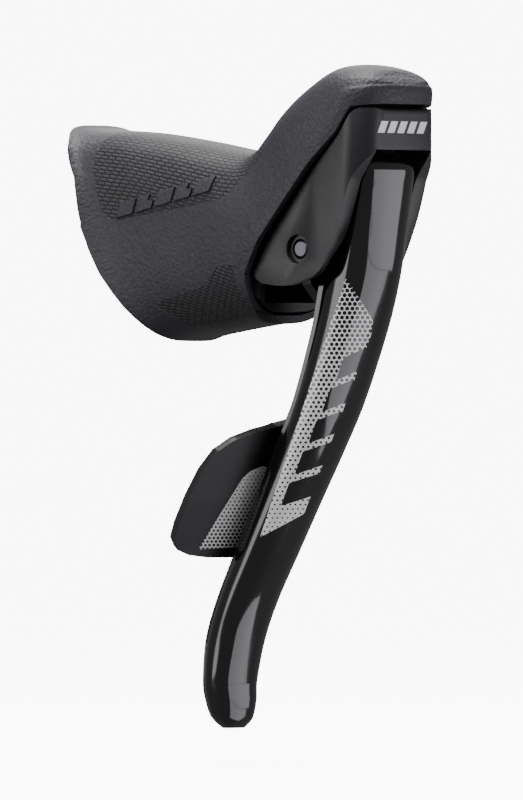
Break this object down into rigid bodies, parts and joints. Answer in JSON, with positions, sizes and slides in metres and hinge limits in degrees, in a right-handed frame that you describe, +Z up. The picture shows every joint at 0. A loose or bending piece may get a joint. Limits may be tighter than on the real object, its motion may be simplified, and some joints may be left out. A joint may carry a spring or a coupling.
{
  "type": "brake shift lever",
  "caption": "Drop-bar brake and shift lever with a rubber hood, a pivoting brake blade and a shift paddle behind it that swings inboard.",
  "frame": {"origin": "centre of the handlebar bore, where the bar's axis meets the lever's middle plane", "axes": "+X forward, +Y to the rider's left (outboard on this left-hand lever), +Z up along the brake blade's long direction"},
  "size_m": [0.106, 0.0447, 0.1656],
  "materials": {
    "rubber": "matte",
    "satin_black": "satin",
    "gloss_black": "gloss",
    "grey_resin": "matte",
    "steel": "satin",
    "dark_steel": "satin",
    "brass": "satin",
    "white_resin": "satin"
  },
  "bodies": {
    "bracket": {"bracket_body": "grey_resin", "hood": "rubber", "clamp_band": "steel", "clamp_nut_plate": "steel", "clamp_bolt": "steel", "brake_pivot_pin": "steel", "ratchet_shaft": "steel", "shaft_clip": "steel", "pawl_pin": "steel", "brake_return_spring": "dark_steel", "spool_return_spring": "dark_steel", "carrier_return_spring": "dark_steel", "brake_housing_stop": "steel", "shift_housing_stop": "steel"},
    "brake_lever": {"lever_yoke": "satin_black", "brake_blade": "gloss_black", "blade_pin": "steel", "pivot_bush_left": "brass", "pivot_bush_right": "brass"},
    "anchor": {"cable_anchor": "steel"},
    "carrier": {"shift_carrier": "dark_steel", "drive_pawl": "dark_steel", "drive_pawl_stud": "steel", "paddle_pin": "steel"},
    "paddle": {"paddle_arm": "dark_steel", "shift_paddle": "satin_black"},
    "spool": {"cable_spool": "white_resin", "ratchet_wheel": "dark_steel"},
    "pawl": {"holding_pawl": "dark_steel"}
  },
  "joints": [
    {"name": "brake_pull", "type": "hinge", "parent": "bracket", "child": "brake_lever", "pos_m": [0.068, 0, -0.00625], "axis": [0, 1, 0], "range_deg": [0, 24], "stiffness_Nm_per_rad": 0.8, "springref_deg": -20.05},
    {"name": "anchor_swivel", "type": "hinge", "parent": "brake_lever", "child": "anchor", "pos_m": [0.0814, 0, 0.0112], "axis": [0, 1, 0], "range_deg": [-24, 0]},
    {"name": "shift_swing", "type": "hinge", "parent": "bracket", "child": "carrier", "pos_m": [0.05, 0, -0.001], "axis": [-1, 0, 0], "range_deg": [0, 20], "stiffness_Nm_per_rad": 0.25, "springref_deg": -20.05},
    {"name": "paddle_pull", "type": "hinge", "parent": "carrier", "child": "paddle", "pos_m": [0.0612, 0, -0.001], "axis": [0, 1, 0], "range_deg": [0, 24]},
    {"name": "spool_turn", "type": "hinge", "parent": "bracket", "child": "spool", "pos_m": [0.033, 0, -0.001], "axis": [-1, 0, 0], "range_deg": [0, 20]},
    {"name": "pawl_lift", "type": "hinge", "parent": "bracket", "child": "pawl", "pos_m": [0.0455, 0.0062, -0.0118], "axis": [1, 0, 0], "range_deg": [0, 9]}
  ],
  "couplings": [
    {"joint": "anchor_swivel", "follows": "brake_pull", "ratio": -1},
    {"joint": "paddle_pull", "follows": "brake_pull", "ratio": 1},
    {"joint": "spool_turn", "follows": "shift_swing", "ratio": 1},
    {"joint": "pawl_lift", "follows": "shift_swing", "ratio": 0.45}
  ]
}
